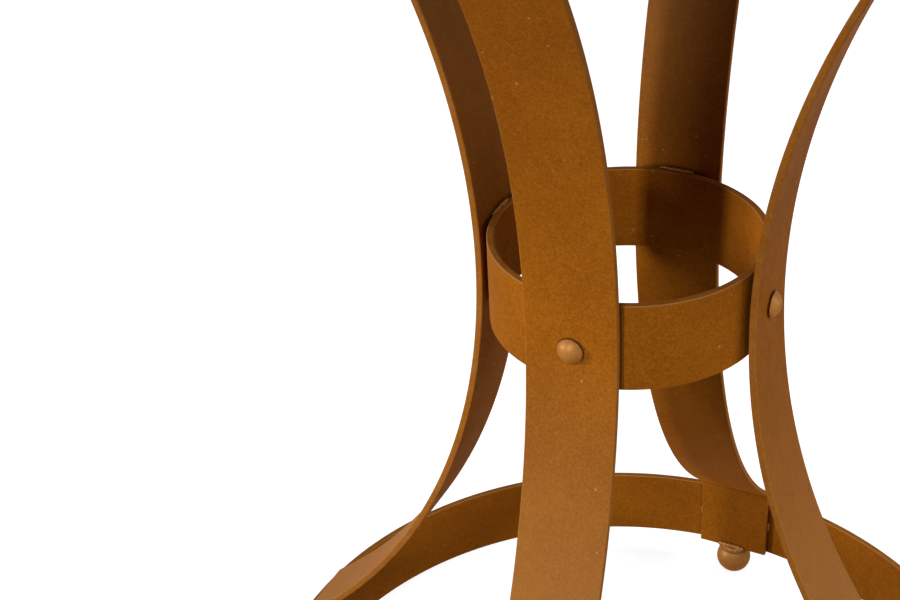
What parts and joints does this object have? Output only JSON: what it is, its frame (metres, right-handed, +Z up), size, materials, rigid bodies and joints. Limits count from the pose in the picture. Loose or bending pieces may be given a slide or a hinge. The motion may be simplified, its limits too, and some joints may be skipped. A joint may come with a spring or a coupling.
{
  "type": "chess table",
  "caption": "Round chess table: stone mosaic top with a playing board in an angle-iron rim, on an hourglass base of rolled flat-bar legs riveted to a waist ring.",
  "frame": {"origin": "on the floor, at the centre of the footprint, on the table's vertical axis", "axes": "+Z up; the players sit at -Y and +Y; +X is to the right of the player at -Y; the legs stand on the diagonals"},
  "size_m": [0.7599, 0.76, 0.7599],
  "materials": {
    "rust_iron": "matte rust-brown patina paint, fine grain, slightly worn edges",
    "screw_steel": "dull zinc plate",
    "backer_board": "sealed exterior plywood",
    "mortar": "matte cement grout",
    "light_stone": "honed cream limestone",
    "dark_stone": "honed dark brown marble",
    "border_stone": "honed red-brown stone",
    "field_stone": "tumbled sand-coloured travertine",
    "rim_stone": "honed grey-brown stone"
  },
  "bodies": {
    "root": {"leg_front_left": "rust_iron", "leg_front_right": "rust_iron", "leg_rear_right": "rust_iron", "leg_rear_left": "rust_iron", "waist_ring": "rust_iron", "base_ring": "rust_iron", "top_ring": "rust_iron", "ball_foot_front_left": "rust_iron", "ball_foot_front_right": "rust_iron", "ball_foot_rear_right": "rust_iron", "ball_foot_rear_left": "rust_iron", "waist_rivet_front_left": "rust_iron", "waist_rivet_front_right": "rust_iron", "waist_rivet_rear_right": "rust_iron", "waist_rivet_rear_left": "rust_iron", "foot_welds": "rust_iron", "waist_welds": "rust_iron", "base_ring_welds": "rust_iron", "top_ring_welds": "rust_iron", "tab_welds": "rust_iron", "strap_welds": "rust_iron", "mounting_tab_front": "rust_iron", "mounting_tab_right": "rust_iron", "mounting_tab_rear": "rust_iron", "mounting_tab_left": "rust_iron", "rim_frame": "rust_iron", "cross_strap_long": "rust_iron", "cross_straps_short": "rust_iron", "tab_screws": "screw_steel", "backer_board": "backer_board", "mortar_bed": "mortar", "rank_1_dark_squares": "dark_stone", "rank_2_dark_squares": "dark_stone", "rank_3_dark_squares": "dark_stone", "rank_4_dark_squares": "dark_stone", "rank_5_dark_squares": "dark_stone", "rank_6_dark_squares": "dark_stone", "rank_7_dark_squares": "dark_stone", "rank_8_dark_squares": "dark_stone", "rank_1_light_squares": "light_stone", "rank_2_light_squares": "light_stone", "rank_3_light_squares": "light_stone", "rank_4_light_squares": "light_stone", "rank_5_light_squares": "light_stone", "rank_6_light_squares": "light_stone", "rank_7_light_squares": "light_stone", "rank_8_light_squares": "light_stone", "border_tiles_front": "border_stone", "border_tiles_right": "border_stone", "border_tiles_rear": "border_stone", "border_tiles_left": "border_stone", "field_stones_front": "field_stone", "field_stones_right": "field_stone", "field_stones_rear": "field_stone", "field_stones_left": "field_stone", "rim_stones_front": "rim_stone", "rim_stones_right": "rim_stone", "rim_stones_rear": "rim_stone", "rim_stones_left": "rim_stone"}
  },
  "joints": []
}
